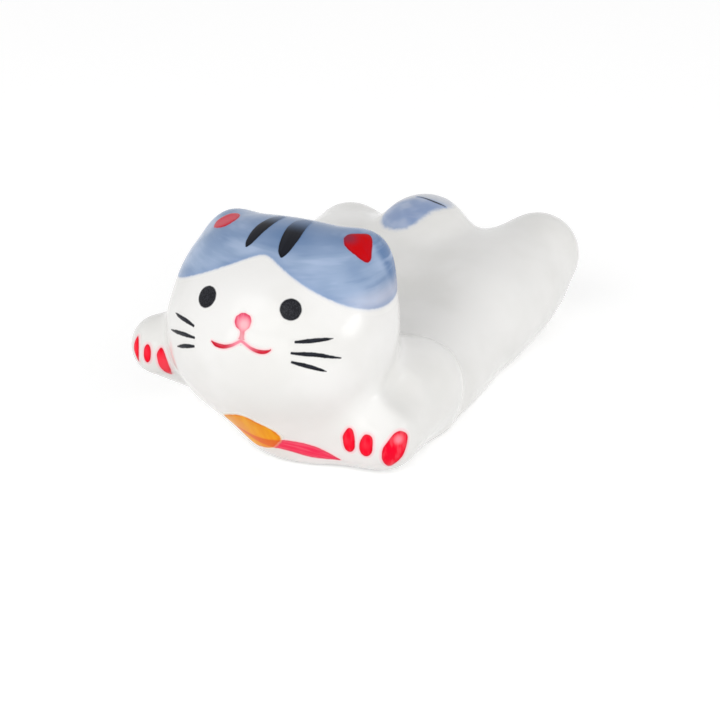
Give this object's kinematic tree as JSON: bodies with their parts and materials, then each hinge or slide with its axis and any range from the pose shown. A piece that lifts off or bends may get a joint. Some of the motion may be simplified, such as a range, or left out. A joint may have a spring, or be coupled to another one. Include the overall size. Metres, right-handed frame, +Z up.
{
  "type": "chopstick rest",
  "caption": "Cat-shaped porcelain chopstick rest: a lying cat whose low back, between head and raised rump, is the saddle that chopstick tips lie across.",
  "frame": {"origin": "on the table under the cat's waist, in the middle of its width, a point of the flat base", "axes": "+Z up, -Y the way the cat faces, +X its own left side"},
  "size_m": [0.0348, 0.0604, 0.0254],
  "materials": {
    "white_porcelain": "glossy clear glaze over white porcelain",
    "blue_grey_enamel": "glossy overglaze enamel, brushed thin",
    "black_enamel": "glossy overglaze enamel",
    "red_enamel": "glossy overglaze enamel",
    "pink_enamel": "glossy overglaze enamel",
    "amber_enamel": "glossy overglaze enamel"
  },
  "bodies": {
    "root": {"porcelain_body": "white_porcelain", "grey_cap": "blue_grey_enamel", "left_stripe": "black_enamel", "right_stripe": "black_enamel", "left_ear_inside": "red_enamel", "right_ear_inside": "red_enamel", "left_eye": "black_enamel", "right_eye": "black_enamel", "nose": "pink_enamel", "mouth": "red_enamel", "left_whisker_upper": "black_enamel", "left_whisker_middle": "black_enamel", "left_whisker_lower": "black_enamel", "right_whisker_upper": "black_enamel", "right_whisker_middle": "black_enamel", "right_whisker_lower": "black_enamel", "left_toe_inner": "red_enamel", "left_toe_middle": "red_enamel", "left_toe_outer": "red_enamel", "right_toe_inner": "red_enamel", "right_toe_middle": "red_enamel", "right_toe_outer": "red_enamel", "collar": "red_enamel", "bell": "amber_enamel", "tail_patch": "blue_grey_enamel", "tail_stripe": "black_enamel"}
  },
  "joints": []
}
